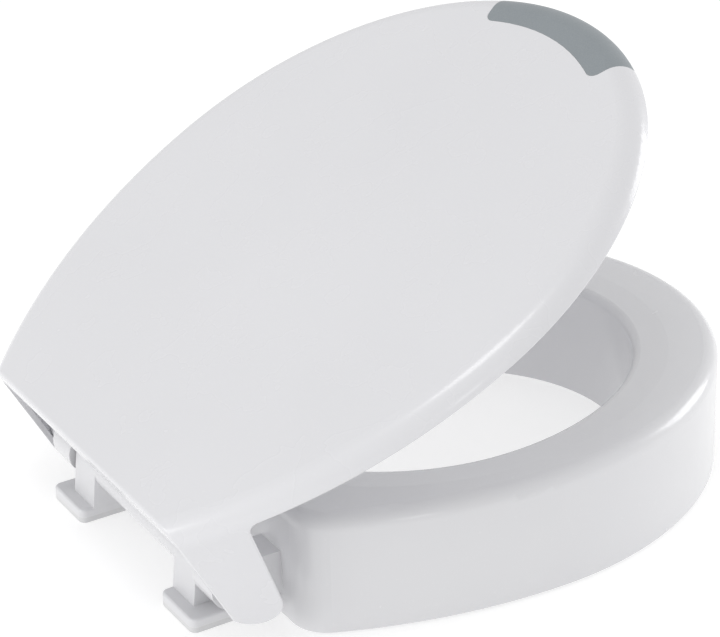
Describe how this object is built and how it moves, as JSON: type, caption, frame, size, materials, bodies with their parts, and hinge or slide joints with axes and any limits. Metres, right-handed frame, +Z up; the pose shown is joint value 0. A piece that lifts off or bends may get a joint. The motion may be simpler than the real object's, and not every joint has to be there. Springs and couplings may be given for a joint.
{
  "type": "raised toilet seat",
  "caption": "Deep hollow ring seat on a rod hinge, with a lid that wraps its edges and carries a grey soft grip in front; raises the sitting height of a toilet.",
  "frame": {"origin": "midway between the two fixing bolts, in the plane of the toilet rim that the feet and the seat's buffers stand on", "axes": "+Z up, +X to the right of someone who sits on the seat and faces -Y, so -Y is the front of the seat and the hinge is at +Y"},
  "size_m": [0.4034, 0.4609, 0.2968],
  "materials": {
    "seat_white": "glossy moulded white",
    "lid_white": "glossy moulded white",
    "base_plastic": "matt moulded white",
    "hinge_plastic": "satin moulded white",
    "pad_elastomer": "soft white elastomer",
    "grip_grey": "soft-touch grey",
    "buffer_rubber": "soft white elastomer",
    "bush_nylon": "natural nylon",
    "rod_steel": "stainless rod",
    "screw_steel": "stainless screws"
  },
  "bodies": {
    "mount": {"foot_left": "hinge_plastic", "foot_right": "hinge_plastic", "foot_pad_left": "pad_elastomer", "foot_pad_right": "pad_elastomer", "crossbar": "hinge_plastic", "hinge_rod": "rod_steel"},
    "seat": {"seat_shell": "seat_white", "seat_base_plate": "base_plastic", "seat_base_screws": "screw_steel", "seat_buffer_front_left": "buffer_rubber", "seat_buffer_front_right": "buffer_rubber", "seat_buffer_rear_left": "buffer_rubber", "seat_buffer_rear_right": "buffer_rubber", "seat_bush_left": "bush_nylon", "seat_bush_right": "bush_nylon"},
    "lid": {"lid_shell": "lid_white", "lid_grip": "grip_grey", "lid_buffer_front_left": "buffer_rubber", "lid_buffer_front_right": "buffer_rubber", "lid_buffer_rear_left": "buffer_rubber", "lid_buffer_rear_right": "buffer_rubber", "lid_bush_left": "bush_nylon", "lid_bush_right": "bush_nylon"}
  },
  "joints": [
    {"name": "seat_lift", "type": "hinge", "parent": "mount", "child": "seat", "pos_m": [0, 0.0172, 0.0338], "axis": [-1, 0, 0], "range_deg": [0, 95]},
    {"name": "lid_swing", "type": "hinge", "parent": "seat", "child": "lid", "pos_m": [0, 0.0172, 0.0338], "axis": [-1, 0, 0], "range_deg": [-28.5, 72]}
  ]
}
